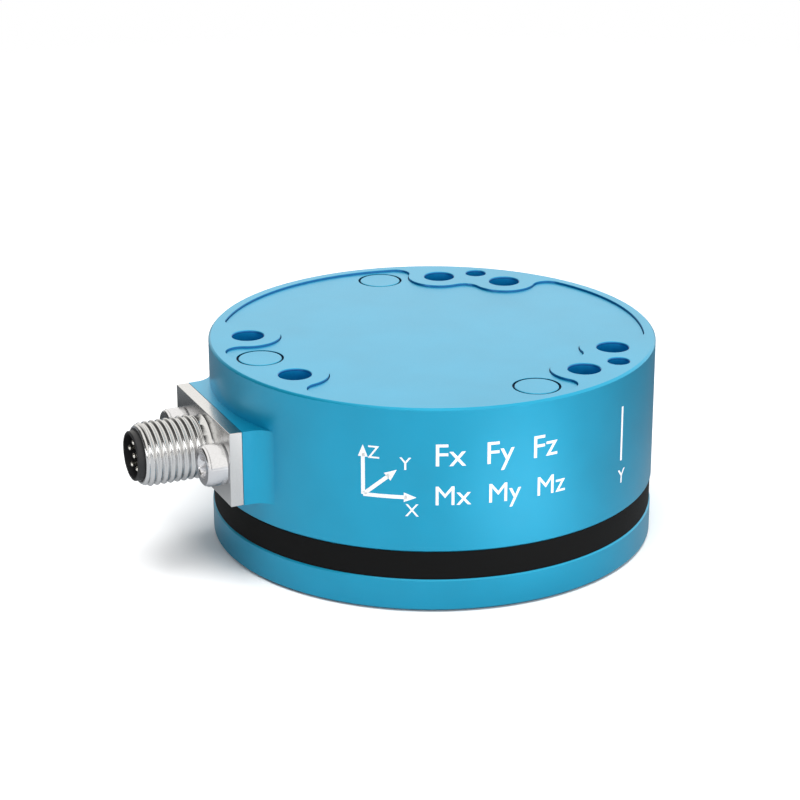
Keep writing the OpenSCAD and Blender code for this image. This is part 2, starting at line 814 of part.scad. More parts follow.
// Gauge circuit: a flexible ring on the hub with an arm to each beam's gauges, and a tail
// that bends up to its socket under the lower board
module gauge_circuit() {
    bend_z = beam_top_z + tail_bend_r + flex_t;
    arm_start = circuit_in_r + 0.5;
    color(amber) union() {
        slab(beam_top_z, beam_top_z + flex_t) {
            difference() {
                circle(r = hub_r - 2);
                circle(r = circuit_in_r);
                translate([0, -tail_w / 2 - tail_notch]) {
                    square([circuit_in_r, tail_w + 2 * tail_notch]);
                }
            }
            around(beam_angs) {
                translate([arm_start, -gauge_w / 2]) {
                    square([hub_r + beam_fillet - arm_start, gauge_w]);
                }
            }
        }
        rotate([90, 0, 0]) {
            linear_extrude(height = tail_w, center = true) {
                intersection() {
                    translate([circuit_in_r, bend_z]) {
                        difference() {
                            circle(r = tail_bend_r + flex_t);
                            circle(r = tail_bend_r);
                        }
                    }
                    translate([tail_x, beam_top_z]) {
                        square(tail_bend_r + flex_t);
                    }
                }
                translate([circuit_in_r, beam_top_z]) {
                    square([1.5, flex_t]);
                }
                translate([tail_x, bend_z]) {
                    square([flex_t, tail_socket_z + tail_seat - bend_z]);
                }
            }
        }
    }
}

// Overload pins: pressed into the rim, each with free play in a hole of the base
module overload_pins() {
    color(steel) around(quarter_angs, rim_screw_pos_r) {
        bar(overload_pin_d / 2, rim_z - overload_reach, rim_z + overload_hold);
    }
}

// Rim screws: they hold the strain element's rim against the deck from below
module rim_screws() {
    color(steel) around(rim_screw_angs, rim_screw_pos_r) {
        translate([0, 0, rim_seat_z]) {
            rotate([180, 0, 0]) {
                cap_screw(small_screw_d, rim_screw_l, rim_head_d, rim_head_h);
            }
        }
    }
}

// Locating pins between the strain element's rim and the deck
module rim_pins() {
    color(steel) around(rim_pin_angs, rim_screw_pos_r) {
        bar(locating_pin_d / 2, deck_z - pin_half_l, deck_z + pin_half_l);
    }
}

// Hub screws: they hold the base flange to the hub from inside the centring recess
module hub_screws() {
    color(steel) around(hub_screw_angs, hub_screw_pos_r) {
        translate([0, 0, base_seat_z]) {
            rotate([180, 0, 0]) {
                cap_screw(large_screw_d, hub_screw_l, hub_head_d, hub_head_h);
            }
        }
    }
}

// Locating pins between the hub and the base flange
module hub_pins() {
    color(steel) around(half_turn_angs, hub_pin_pos_r) {
        bar(locating_pin_d / 2, hub_seat_z - pin_half_l, hub_seat_z + pin_half_l);
    }
}

// Connector shell: one metal piece with the flange plate, the threaded barrel in front of
// it and the spigot behind it
module connector_shell() {
    shank_r = barrel_r - shank_drop;
    color(silver) on_connector() {
        difference() {
            union() {
                rotate_extrude() {
                    polygon([[0, spigot_end], [spigot_r, spigot_end],
                        [spigot_r, boss_reach + flange_t / 2], [shank_r, boss_reach + flange_t / 2],
                        [shank_r, thread_start], [barrel_r, thread_start], [barrel_r, thread_end],
                        [barrel_r - lead_in_l / 2, barrel_tip], [0, barrel_tip]]);
                }
                slab(boss_reach, flange_face) {
                    difference() {
                        square([flange_h, flange_w], center = true);
                        for (s = [-1, 1]) {
                            translate([0, s * flange_screw_off]) {
                                circle(r = large_screw_d / 2 + shank_gap);
                            }
                        }
                    }
                }
            }
            bar(insert_r + fit_gap, spigot_end - past, barrel_tip + past);
        }
    }
}

// Connector insert: the black plastic body with its open socket and its coding key
module connector_insert() {
    edge = socket_wall / 3;
    color(black) on_connector() {
        difference() {
            rotate_extrude() {
                polygon([[0, insert_end], [spigot_r, insert_end], [spigot_r, spigot_end],
                    [insert_r, spigot_end], [insert_r, insert_tip - edge],
                    [insert_r - edge, insert_tip], [socket_r, insert_tip],
                    [socket_r, socket_floor], [0, socket_floor]]);
            }
            for (p = contact_pos) {
                translate(p) {
                    bar(contact_d / 2 + fit_gap, insert_end - past, socket_floor + past);
                }
            }
        }
        block([socket_r - key_h, -key_w / 2, socket_floor - key_h],
            [socket_r + socket_wall / 2, key_w / 2, insert_tip - 1]);
    }
}

// Contact pins: they run through the insert and end behind it in wider solder ends
module contact_pins() {
    tip = contact_d / 4;
    color(gold) on_connector() {
        for (p = contact_pos) {
            translate(p) {
                rotate_extrude() {
                    polygon([[0, contact_end], [contact_d * 0.6, contact_end],
                        [contact_d * 0.6, insert_end], [contact_d / 2, insert_end],
                        [contact_d / 2, contact_tip - tip], [contact_d / 2 - tip, contact_tip],
                        [0, contact_tip]]);
                }
            }
        }
    }
}

// O-ring in the boss's groove behind the connector flange
module connector_seal() {
    color(black) on_connector() {
        rotate_extrude() {
            translate([oring_r, boss_reach - oring_d / 2]) {
                circle(d = oring_d - fit_gap);
            }
        }
    }
}

// Flange screws: they hold the connector on the boss
module flange_screws() {
    color(silver) on_connector() {
        for (s = [-1, 1]) {
            translate([0, s * flange_screw_off, flange_face]) {
                cap_screw(large_screw_d, flange_screw_l, flange_head_d, flange_head_h);
            }
        }
    }
}

// A point and the direction at share t of the curve that leaves a and reaches d along +X
function curve(a, d, pull, t) = let (b = a + [pull, 0, 0], c = d - [pull, 0, 0], u = 1 - t)
    [u * u * u * a + 3 * t * u * u * b + 3 * t * t * u * c + t * t * t * d,
    unit(u * u * (b - a) + 2 * t * u * (c - b) + t * t * (d - c))];

// A wire of radius r along that curve
module wire(a, d, pull, r) {
    rings = [for (i = [0:lead_steps]) let (at = curve(a, d, pull, i / lead_steps),
        side = unit(cross([0, 0, 1], at[1])), top = cross(at[1], side))
        for (k = [0:lead_sides - 1]) let (q = 360 * k / lead_sides)
            at[0] + r * (cos(q) * side + sin(q) * top)];
    n = lead_sides;
    faces = concat([[for (k = [0:n - 1]) k]],
        [for (i = [0:lead_steps - 1], k = [0:n - 1])
            [i * n + k, (i + 1) * n + k, (i + 1) * n + (k + 1) % n, i * n + (k + 1) % n]],
        [[for (k = [0:n - 1]) lead_steps * n + n - 1 - k]]);
    polyhedron(points = rings, faces = faces, convexity = 4);
}

// Leads: one wire from each contact's solder end to the plug
module connector_leads() {
    color("ivory") {
        for (i = [0:len(lead_order) - 1]) {
            p = contact_pos[lead_order[i]];
            wire([-contact_end, p[1], connector_z + p[0]],
                [plug_back_x, (i - 2.5) * lead_pitch, plug_z + plug_h / 2], 3, lead_r);
        }
    }
}

// Plug on the leads' ends
module lead_plug() {
    color("white") block([plug_back_x, -plug_w / 2, plug_z],
        [plug_front_x, plug_w / 2, plug_z + plug_h]);
}

// Socket on the lower board that the plug goes into
module lead_socket() {
    side = plug_w / 2 + fit_gap;
    color("white") difference() {
        block([plug_front_x - plug_seat, -side - lead_socket_wall, bridge_top_z],
            [plug_front_x + 1.5, side + lead_socket_wall,
            plug_z + plug_h + fit_gap + lead_socket_wall]);
        block([plug_front_x - plug_seat - past, -side, plug_z - fit_gap],
            [plug_front_x + fit_gap, side, plug_z + plug_h + fit_gap]);
    }
}

// Socket under the lower board for the gauge circuit's tail
module tail_socket() {
    color("white") difference() {
        block([tail_x - 1.4, -tail_w / 2 - 1, tail_socket_z],
            [tail_x + flex_t + 1.4, tail_w / 2 + 1, bridge_z]);
        block([tail_x - fit_gap, -tail_w / 2 - fit_gap, tail_socket_z - past],
            [tail_x + flex_t + fit_gap, tail_w / 2 + fit_gap, tail_socket_z + tail_seat + fit_gap]);
    }
}

// A round board of radius r with its four screw holes
module board_plan(r) {
    difference() {
        circle(r = r);
        around(quarter_angs, post_pos_r) {
            circle(r = post_stud_d / 2 + shank_gap);
        }
    }
}

// Lower board: it reads the strain gauges
module bridge_board() {
    color(board_green) slab(bridge_z, bridge_top_z) {
        board_plan(board_r);
    }
}

// A part on a board, with its middle at (x, y) as shares of the board's radius, and its
// width w, length l and height h in units of part_unit
module chip(x, y, w, l, h) {
    size = part_unit * [w, l, h];
    translate([board_r * x - size[0] / 2, board_r * y - size[1] / 2, 0]) {
        cube(size);
    }
}

// Amplifiers, converters and round capacitors on the lower board
module bridge_chips() {
    color(black) translate([0, 0, bridge_top_z]) {
        for (i = [-1, 0, 1]) {
            chip(0.23 * i, -0.54, 4, 5, 1.2);
            chip(0.23 * i, -0.23, 3, 3, 0.9);
        }
        chip(0.23, 0.15, 7, 7, 1);
        chip(-0.31, 0.15, 5, 5, 0.9);
        chip(0.64, 0, 5, 4, 1.5);
        for (x = [-0.5, 0.5]) {
            translate([board_r * x, -board_r * 0.24, 0]) {
                cylinder(h = capacitor_h, d = capacitor_d);
            }
        }
    }
}

// Hexagonal standoffs screwed into the deck
module deck_standoffs() {
    color(steel) around(quarter_angs, post_pos_r) {
        difference() {
            union() {
                translate([0, 0, bay_z]) {
                    cylinder(h = post_h, r = hex_r(post_af), $fn = 6);
                }
                bar(post_stud_d / 2, bay_z - deck_t + 0.5, bay_z + post_h / 2);
            }
            bar(post_stud_d / 2 + thread_gap, bay_z + 0.2, bridge_z + past);
        }
    }
}

// Upper board: it computes the six loads and sends them out
module interface_board() {
    color(board_green) slab(interface_z, interface_top_z) {
        board_plan(board_r - board_step);
    }
}

// Processor, line drivers and voltage converter on the upper board
module interface_chips() {
    color(black) translate([0, 0, interface_top_z]) {
        chip(0, 0.08, 10, 10, 1.4);
        for (y = [-0.16, 0.16]) {
            chip(-0.46, y, 6, 5, 1.3);
        }
        chip(0.46, 0.23, 3.2, 2.5, 0.9);
        chip(0.46, -0.04, 5, 4, 1.3);
        chip(0, -0.42, 7, 4, tall_part_h / part_unit);
        chip(0.32, -0.46, 4, 4, 1.2);
        chip(-0.32, -0.46, 4, 4, 1.2);
    }
}

// Spacers between the two boards, with a stud through the lower one into its standoff
module board_spacers() {
    color(steel) around(quarter_angs, post_pos_r) {
        difference() {
            union() {
                translate([0, 0, bridge_top_z]) {
                    cylinder(h = spacer_h, r = hex_r(post_af), $fn = 6);
                }
                bar(post_stud_d / 2, bridge_z - post_h + 0.5, bridge_top_z + spacer_h / 4);
            }
            bar(post_stud_d / 2 + thread_gap, interface_z - spacer_h * 0.65, interface_z + past);
        }
    }
}

// Screws that hold the upper board on its spacers
module board_screws() {
    color(steel) around(quarter_angs, post_pos_r) {
        translate([0, 0, interface_top_z]) {
            cap_screw(post_stud_d, board_t + spacer_h / 2, post_af - 0.2, 1.6);
        }
    }
}

// Header that joins the two boards: a socket on the lower one with a plug in it
module board_header() {
    socket_top_z = interface_z - spacer_h / 3;
    color(black) translate([0, board_r * 0.69, 0]) {
        block([-header_l / 2, -header_w / 2, bridge_top_z],
            [header_l / 2, header_w / 2, socket_top_z]);
        block([0.5 - header_l / 2, 0.5 - header_w / 2, socket_top_z],
            [header_l / 2 - 0.5, header_w / 2 - 0.5, interface_z]);
    }
}

housing();
cover_plate();
cover_gasket();
cover_plugs();
cover_screws();
seal_band();
base_flange();
strain_element();
strain_gauges();
gauge_circuit();
overload_pins();
rim_screws();
rim_pins();
hub_screws();
hub_pins();
connector_shell();
connector_insert();
contact_pins();
connector_seal();
flange_screws();
connector_leads();
lead_plug();
lead_socket();
tail_socket();
bridge_board();
bridge_chips();
deck_standoffs();
interface_board();
interface_chips();
board_spacers();
board_screws();
board_header();
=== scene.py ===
import json
import math

import bmesh
import bpy
from mathutils import Matrix, Vector


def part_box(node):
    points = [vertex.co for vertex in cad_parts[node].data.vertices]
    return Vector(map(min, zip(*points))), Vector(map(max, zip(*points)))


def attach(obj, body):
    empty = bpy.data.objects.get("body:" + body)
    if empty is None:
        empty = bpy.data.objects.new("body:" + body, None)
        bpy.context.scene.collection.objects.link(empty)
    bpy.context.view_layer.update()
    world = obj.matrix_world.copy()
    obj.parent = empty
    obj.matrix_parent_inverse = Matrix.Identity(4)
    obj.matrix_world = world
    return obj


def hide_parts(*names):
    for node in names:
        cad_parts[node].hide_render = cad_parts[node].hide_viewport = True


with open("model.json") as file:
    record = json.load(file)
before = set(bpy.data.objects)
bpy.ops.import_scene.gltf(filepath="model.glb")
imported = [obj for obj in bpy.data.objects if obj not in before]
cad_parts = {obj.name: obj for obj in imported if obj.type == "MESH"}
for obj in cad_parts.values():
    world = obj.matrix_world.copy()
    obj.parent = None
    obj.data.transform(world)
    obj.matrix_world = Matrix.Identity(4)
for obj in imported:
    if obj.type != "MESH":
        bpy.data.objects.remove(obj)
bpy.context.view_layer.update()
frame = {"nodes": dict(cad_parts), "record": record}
nodes = frame["nodes"]
scene = bpy.context.scene

# Sizes are in millimetres and angles in degrees, up to the section on floor and light
MM = 0.001
WELD = 0.0002
TOUCH = 0.01

# The body's main sizes, from the frame
housing_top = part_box("housing")[1]
RIM_Z = housing_top.z / MM
BODY_R = housing_top.x / MM
COVER_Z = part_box("cover_plate")[1].z / MM


# ---------------------------------------------------------------- material nodes

def new_material(name):
    material = bpy.data.materials.new(name)
    material.use_nodes = True
    tree = material.node_tree
    shader = tree.nodes["Principled BSDF"]
    return material, tree, shader


def grain(tree, scale, detail=3.0, roughness=0.6):
    """Noise in the piece's own coordinates, at a size of about 1 / scale metres."""
    coords = tree.nodes.new("ShaderNodeTexCoord")
    noise = tree.nodes.new("ShaderNodeTexNoise")
    noise.inputs["Scale"].default_value = scale
    noise.inputs["Detail"].default_value = detail
    noise.inputs["Roughness"].default_value = roughness
    tree.links.new(coords.outputs["Object"], noise.inputs["Vector"])
    return noise.outputs["Fac"]


def ranged(tree, value, start, end, low=0.0, high=1.0, smooth=False):
    """Low up to where a value starts, high from where it ends, and a slope between them."""
    span = tree.nodes.new("ShaderNodeMapRange")
    if smooth:
        span.interpolation_type = "SMOOTHSTEP"
    span.inputs["From Min"].default_value = start
    span.inputs["From Max"].default_value = end
    span.inputs["To Min"].default_value = low
    span.inputs["To Max"].default_value = high
    tree.links.new(value, span.inputs["Value"])
    return span.outputs["Result"]


# Noise keeps mostly within this range
GRAIN_LOW = 0.3
GRAIN_HIGH = 0.7


def spread(tree, value, low, high):
    """The grain's middle range, brought to the range from low to high."""
    return ranged(tree, value, GRAIN_LOW, GRAIN_HIGH, low, high)


def shade(tree, value, dark, light):
    """A colour between dark and light, led by the grain."""
    ramp = tree.nodes.new("ShaderNodeValToRGB")
    stops = ramp.color_ramp.elements
    for stop, position, colour in zip(stops, (GRAIN_LOW, GRAIN_HIGH), (dark, light)):
        stop.position = position
        stop.color = (*colour, 1)
    tree.links.new(value, ramp.inputs["Fac"])
    return ramp.outputs["Color"]


def blended(tree, factor, below, colour):
    """A colour laid over what lies below it."""
    mix = tree.nodes.new("ShaderNodeMix")
    mix.data_type = "RGBA"
    mix.inputs["B"].default_value = (*colour, 1)
    tree.links.new(factor, mix.inputs["Factor"])
    tree.links.new(below, mix.inputs["A"])
    return mix.outputs["Result"]


def combined(tree, operation, first, second):
    """Two values brought together by an operation."""
    node = tree.nodes.new("ShaderNodeMath")
    node.operation = operation
    tree.links.new(first, node.inputs[0])
    tree.links.new(second, node.inputs[1])
    return node.outputs["Value"]


def distance_to(tree, centre, place):
    """How far a place is from a fixed point, in metres."""
    apart = tree.nodes.new("ShaderNodeVectorMath")
    apart.operation = "DISTANCE"
    apart.inputs[1].default_value = centre
    tree.links.new(place, apart.inputs[0])
    return apart.outputs["Value"]


def bumps(tree, value, depth):
    bump = tree.nodes.new("ShaderNodeBump")
    bump.inputs["Strength"].default_value = 0.6
    bump.inputs["Distance"].default_value = depth * MM
    tree.links.new(value, bump.inputs["Height"])
    return bump.outputs["Normal"]


# ---------------------------------------------------------------------- finishes

# How soft the edges of the painted recess shade are, in height and in radius
LEVEL_EDGE = 0.03
REACH_EDGE = 0.2


def painted_recess_shade(tree, dye_and_shade, levels, reach):
    """Painted shade: a darker colour below some levels and inside a radius, where cut walls, gaps
    and holes lie.
    """
    coords = tree.nodes.new("ShaderNodeTexCoord")
    split = tree.nodes.new("ShaderNodeSeparateXYZ")
    flat = tree.nodes.new("ShaderNodeMapping")
    flat.inputs["Scale"].default_value = (1, 1, 0)
    tree.links.new(coords.outputs["Object"], split.inputs["Vector"])
    tree.links.new(coords.outputs["Object"], flat.inputs["Vector"])
    radius = distance_to(tree, (0, 0, 0), flat.outputs["Vector"])
    inside = ranged(tree, radius, reach * MM, (reach - REACH_EDGE) * MM)
    # Each level paints its shade colour on what lies below it, inside the radius
    for level, colour in levels:
        below = ranged(tree, split.outputs["Z"], level * MM, (level - LEVEL_EDGE) * MM)
        dye_and_shade = blended(tree, combined(tree, "MULTIPLY", below, inside), dye_and_shade, colour)
    return dye_and_shade


def blasted_anodising(name, colour, levels=(), reach=BODY_R):
    """Blue anodised aluminium with a fine blasted grain under a clear oxide layer, with painted
    shade below the given levels.
    """
    material, tree, shader = new_material(name)
    fine = grain(tree, 9000, detail=2.0)
    cloudy = grain(tree, 60, detail=2.0)
    dark = tuple(0.95 * c for c in colour)
    light = tuple(1.04 * c for c in colour)
    dye_and_shade = shade(tree, cloudy, dark, light)
    if levels:
        dye_and_shade = painted_recess_shade(tree, dye_and_shade, levels, reach)
    tree.links.new(dye_and_shade, shader.inputs["Base Color"])
    tree.links.new(spread(tree, fine, 0.38, 0.47), shader.inputs["Roughness"])
    tree.links.new(bumps(tree, fine, 0.004), shader.inputs["Normal"])
    shader.inputs["Metallic"].default_value = 0.76
    shader.inputs["Specular IOR Level"].default_value = 0.3
    shader.inputs["Coat Weight"].default_value = 0.8
    shader.inputs["Coat Roughness"].default_value = 0.25
    shader.inputs["Coat IOR"].default_value = 1.5
    return material


def polished_metal(name, colour, roughness):
    """Plated or machined metal with faint streaks in its polish."""
    material, tree, shader = new_material(name)
    fine = grain(tree, 2500)
    dark = tuple(0.93 * c for c in colour)
    tree.links.new(shade(tree, fine, dark, colour), shader.inputs["Base Color"])
    tree.links.new(spread(tree, fine, roughness, roughness + 0.03),
                   shader.inputs["Roughness"])
    tree.links.new(bumps(tree, fine, 0.0015), shader.inputs["Normal"])
    shader.inputs["Metallic"].default_value = 1.0
    return material


def moulded(name, colour, roughness, depth=0.006, gloss=0.5):
    """Moulded plastic or rubber with a fine matte texture."""
    material, tree, shader = new_material(name)
    fine = grain(tree, 4000)
    dark = tuple(0.85 * c for c in colour)
    light = tuple(min(1.0, 1.12 * c) for c in colour)
    tree.links.new(shade(tree, fine, dark, light), shader.inputs["Base Color"])
    tree.links.new(spread(tree, fine, roughness - 0.05, roughness + 0.07),
                   shader.inputs["Roughness"])
    tree.links.new(bumps(tree, fine, depth), shader.inputs["Normal"])
    shader.inputs["Specular IOR Level"].default_value = gloss
    return material


BODY_BLUE = (0.001, 0.375, 0.61)
# Painted shade: darker blues for the holes, the pocket's walls and the gaps round the cover and the
# plugs
HOLE_SHADE_BLUE = (0.0, 0.28, 0.6)
WALL_SHADE_BLUE = (0.0, 0.15, 0.42)
GAP_SHADE_BLUE = (0.0, 0.05, 0.14)

# How wide the broken edges are, how far inside the body's wall the cut walls lie, where their
# painted shade stops, and how far below the cover's top the painted shade in the holes begins
BODY_BREAK = 0.06
PLUG_BREAK = 0.08
SEAL_BREAK = 0.25
CUT_INSET = 1
HOLE_DROP = 0.05

finishes = {
    "anodised_blue": blasted_anodising("anodised blue", BODY_BLUE),
    # The cover and the plugs get painted shade just below their tops, in the gaps round them
    "cover_blue": blasted_anodising("cover blue with painted gap shade", BODY_BLUE,
                                    levels=((COVER_Z - BODY_BREAK - TOUCH, GAP_SHADE_BLUE),)),
    "plug_blue": blasted_anodising("plug blue with painted gap shade", BODY_BLUE,
                                   levels=((COVER_Z - PLUG_BREAK - TOUCH, GAP_SHADE_BLUE),)),
    "seal_black": moulded("seal rubber", (0.005, 0.005, 0.005), 0.55, gloss=0.1),
    "gasket_black": moulded("gasket rubber", (0.02, 0.02, 0.02), 0.6),
    "element_metal": polished_metal("machined aluminium", (0.72, 0.73, 0.75), 0.3),
    "screw_steel": polished_metal("plain steel", (0.45, 0.46, 0.48), 0.32),
    "pin_steel": polished_metal("ground steel", (0.55, 0.56, 0.58), 0.2),
    "nickel": polished_metal("bright nickel", (0.73, 0.73, 0.73), 0.17),
    "bright_screw": polished_metal("bright zinc", (0.8, 0.8, 0.82), 0.2),
    "insert_black": moulded("insert plastic", (0.012, 0.012, 0.013), 0.42),
    "contact_gold": polished_metal("plated contacts", (0.93, 0.9, 0.82), 0.25),
    "gauge_foil": moulded("gauge film", (0.5, 0.2, 0.02), 0.3),
    "circuit_film": moulded("circuit film", (0.45, 0.15, 0.01), 0.3),
    "board_green": moulded("solder mask", (0.01, 0.12, 0.04), 0.3),
    "chip_black": moulded("chip plastic", (0.02, 0.02, 0.022), 0.5),
    "socket_white": moulded("socket plastic", (0.75, 0.73, 0.66), 0.45),
    "header_black": moulded("header plastic", (0.02, 0.02, 0.02), 0.5),
    "wire_white": moulded("wire insulation", (0.7, 0.68, 0.62), 0.45),
}
# The housing gets painted shade on the pocket's walls and in the holes, inside the body's wall
housing_shaded_blue = blasted_anodising("anodised blue with painted recess shade", BODY_BLUE,
                                 levels=((RIM_Z - BODY_BREAK - TOUCH, WALL_SHADE_BLUE),
                                         (COVER_Z - HOLE_DROP, HOLE_SHADE_BLUE)),
                                 reach=BODY_R - CUT_INSET)
white_print = moulded("white print", (0.85, 0.86, 0.87), 0.45, depth=0.002)

for part in frame["record"]["subparts"]:
    mesh = nodes[part["node"]].data
    mesh.materials.clear()
    mesh.materials.append(finishes[part["material_slot"]])


# ----------------------------------------------------------------- mesh building

def millimetres(*values):
    return tuple(v * MM for v in values)


def radius_of(vert):
    """A vertex's distance from the z axis, in metres."""
    return math.hypot(vert.co.x, vert.co.y)


def set_radius(vert, radius):
    vert.co.xy *= radius / radius_of(vert)


def shade_round_wall(mesh, radius):
    """Shade the faces of a wall round the z axis as a true cylinder, and level faces as flat."""
    normals = [Vector(corner.vector) for corner in mesh.corner_normals]
    for face in mesh.polygons:
        corners = [(i, mesh.vertices[mesh.loops[i].vertex_index].co) for i in face.loop_indices]
        on_wall = all(abs(math.hypot(co.x, co.y) - radius * MM) < TOUCH * MM
                      for _, co in corners)
        if on_wall and abs(face.normal.z) < 0.1:
            for i, co in corners:
                normals[i] = Vector((co.x, co.y, 0)).normalized()
        elif abs(face.normal.z) > 0.9999:
            for i, _ in corners:
                normals[i] = face.normal.copy()
    mesh.normals_split_custom_set(normals)


def add_piece(name, bm, slot, *cad_nodes, finish=None, crease=32, round_wall=None):
    """Make a finished bmesh a piece of the sensor, in place of the CAD nodes that it stands for."""
    mesh = bpy.data.meshes.new(name)
    bm.to_mesh(mesh)
    bm.free()
    mesh.shade_smooth()
    mesh.set_sharp_from_angle(angle=math.radians(crease))
    mesh.materials.append(finish or finishes[slot])
    piece = bpy.data.objects.new(name, mesh)
    scene.collection.objects.link(piece)
    if round_wall:
        shade_round_wall(mesh, round_wall)
    else:
        flatten = piece.modifiers.new("flat faces stay flat", "WEIGHTED_NORMAL")
        flatten.keep_sharp = True
    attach(piece, "root")
    if cad_nodes:
        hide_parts(*cad_nodes)


def pour(source, target):
    """Move all of one bmesh into another."""
    kept = bpy.data.meshes.new("between two shapes")
    source.to_mesh(kept)
    source.free()
    target.from_mesh(kept)
    bpy.data.meshes.remove(kept)


def merged_copy(node):
    """A copy of a CAD node's mesh, with its triangles joined and each flat face in one piece."""
    bm = bmesh.new()
    bm.from_mesh(nodes[node].data)
    bmesh.ops.remove_doubles(bm, verts=bm.verts, dist=WELD * MM)
    bmesh.ops.dissolve_limit(bm, angle_limit=math.radians(0.15), verts=bm.verts,
                             edges=bm.edges, use_dissolve_boundaries=False)
    return bm


def soften(bm, width, segments=2, where=lambda edge: True):
    """Break the sharp edges, as a deburring tool does."""
    sharp = [edge for edge in bm.edges
             if len(edge.link_faces) == 2
             and edge.calc_face_angle() > math.radians(30) and where(edge)]
    bmesh.ops.bevel(bm, geom=sharp, offset=width * MM, offset_type="OFFSET",
                    affect="EDGES", segments=segments, profile=0.5, material=-1,
                    clamp_overlap=True)


def softened_copy(node, width, segments=2, where=lambda edge: True):
    bm = merged_copy(node)
    soften(bm, width, segments, where)
    return bm


def above(height):
    return lambda edge: all(v.co.z > height * MM for v in edge.verts)


def chained(bm, points):
    """Points joined in a row by edges; returns both."""
    verts = [bm.verts.new(point) for point in points]
    return verts + [bm.edges.new(pair) for pair in zip(verts, verts[1:])]


def turned(bm, outline, steps):
    """Spin an outline of (radius, height) points round the z axis."""
    line = chained(bm, [millimetres(r, 0, z) for r, z in outline])
    bmesh.ops.spin(bm, geom=line, cent=(0, 0, 0), axis=(0, 0, 1),
                   dvec=(0, 0, 0), angle=2 * math.pi, steps=steps, use_merge=True)
    bmesh.ops.remove_doubles(bm, verts=bm.verts, dist=WELD * MM)
    bmesh.ops.recalc_face_normals(bm, faces=bm.faces)


def ring(bm, radius, height, segments=64):
    """An open circle round the z axis; returns its edges."""
    made = bmesh.ops.create_circle(bm, cap_ends=False, segments=segments,
                                   radius=radius * MM,
                                   matrix=Matrix.Translation((0, 0, height * MM)))
    return list({edge for vert in made["verts"] for edge in vert.link_edges})


def open_edges(bm, height, outer_than=0.0, inner_than=1000.0, reach=0.02):
    """The open edges at a height whose radius lies between two values."""
    return [edge for edge in bm.edges
            if len(edge.link_faces) == 1
            and all(abs(v.co.z - height * MM) < reach * MM
                    and outer_than * MM < radius_of(v) < inner_than * MM
                    for v in edge.verts)]


def trim(bm, height, keep_below):
    """Cut everything above or below a height off."""
    bmesh.ops.bisect_plane(bm, geom=bm.verts[:] + bm.edges[:] + bm.faces[:],
                           dist=WELD * MM, plane_co=(0, 0, height * MM),
                           plane_no=(0, 0, 1), clear_outer=keep_below,
                           clear_inner=not keep_below)


# --------------------------------------------------------------- connector shell

# The connector's own frame: z runs outwards along the connector's axis, and x is up
shell_low, shell_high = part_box("connector_shell")
connector_z = (shell_low.z + shell_high.z) / 2
ON_CONNECTOR = Matrix(((0, 0, -1, 0), (0, 1, 0, 0), (1, 0, 0, connector_z), (0, 0, 0, 1)))
BARREL_TIP = -shell_low.x / MM
BARREL_R = 6.0
BARREL_L = 12.75
MID_WALL_R = 5.2
FLANGE_T = 2.5
FLANGE_FACE = BARREL_TIP - BARREL_L
FLANGE_BREAK = 0.16
FLANGE_INNER_R = 6.5
BARREL_FOOT = FLANGE_FACE + 0.05
RELIEF_H = 0.3
LEAD_IN = 1.2
TIP_R = BARREL_R - LEAD_IN / 2
LIP_FOOT = BARREL_TIP - 0.1
PITCH = 1.3
THREAD_DEPTH = 0.46
ROOT_R = BARREL_R - THREAD_DEPTH
THREAD_START = FLANGE_FACE + 1.35
THREAD_END = BARREL_TIP - 0.3
RUN_IN_SLOPE = 1.2
WAVE_STEPS = 14
TURN_STEPS = 72


def helical_flank(bm):
    """A rounded thread profile, swept up a helix past both ends of the thread."""
    base = THREAD_START - 1.5 * PITCH
    wave = [(i / WAVE_STEPS, 0.5 - 0.5 * math.cos(math.tau * i / WAVE_STEPS))
            for i in range(WAVE_STEPS + 1)]
    profile = chained(bm, [millimetres(ROOT_R + THREAD_DEPTH * rise, 0, base + PITCH * along)
                           for along, rise in wave])
    turns = math.ceil((THREAD_END - base) / PITCH) + 1
    bmesh.ops.spin(bm, geom=profile, cent=(0, 0, 0), axis=(0, 0, 1),
                   dvec=(0, 0, PITCH * MM / TURN_STEPS), angle=2 * math.pi * turns,
                   steps=TURN_STEPS * turns, use_merge=False)
    bmesh.ops.remove_doubles(bm, verts=bm.verts, dist=0.001 * MM)


def turn_down_thread(bm):
    """Turn the thread down to its run-in at the plate and to the lead-in at the tip."""
    for vert in bm.verts:
        along = vert.co.z / MM
        limit = min(BARREL_R - max(0.0, along - (BARREL_TIP - LEAD_IN)) / 2,
                    ROOT_R + max(0.0, along - THREAD_START) * RUN_IN_SLOPE)
        if radius_of(vert) > limit * MM:
            set_radius(vert, limit * MM)
    trim(bm, THREAD_START, keep_below=False)
    trim(bm, THREAD_END, keep_below=True)


def shell_behind_barrel():
    """The CAD shell's flange plate and spigot, cut off just in front of the plate."""
    bm = merged_copy("connector_shell")
    bmesh.ops.transform(bm, matrix=ON_CONNECTOR.inverted(), verts=bm.verts)
    trim(bm, BARREL_FOOT, keep_below=True)
    plate_back = (FLANGE_FACE - FLANGE_T - TOUCH) * MM
    soften(bm, FLANGE_BREAK, where=lambda edge: all(
        v.co.z > plate_back and radius_of(v) > FLANGE_INNER_R * MM for v in edge.verts))
    return bm


def barrel_lip(bore_r):
    """The barrel's tip, turned in one: the end of the lead-in, the face and the bore's edge."""
    lip = bmesh.new()
    turned(lip, ((TIP_R + 0.02, LIP_FOOT), (TIP_R - 0.12, BARREL_TIP),
                 (bore_r + 0.1, BARREL_TIP), (bore_r, LIP_FOOT)), steps=64)
    return lip


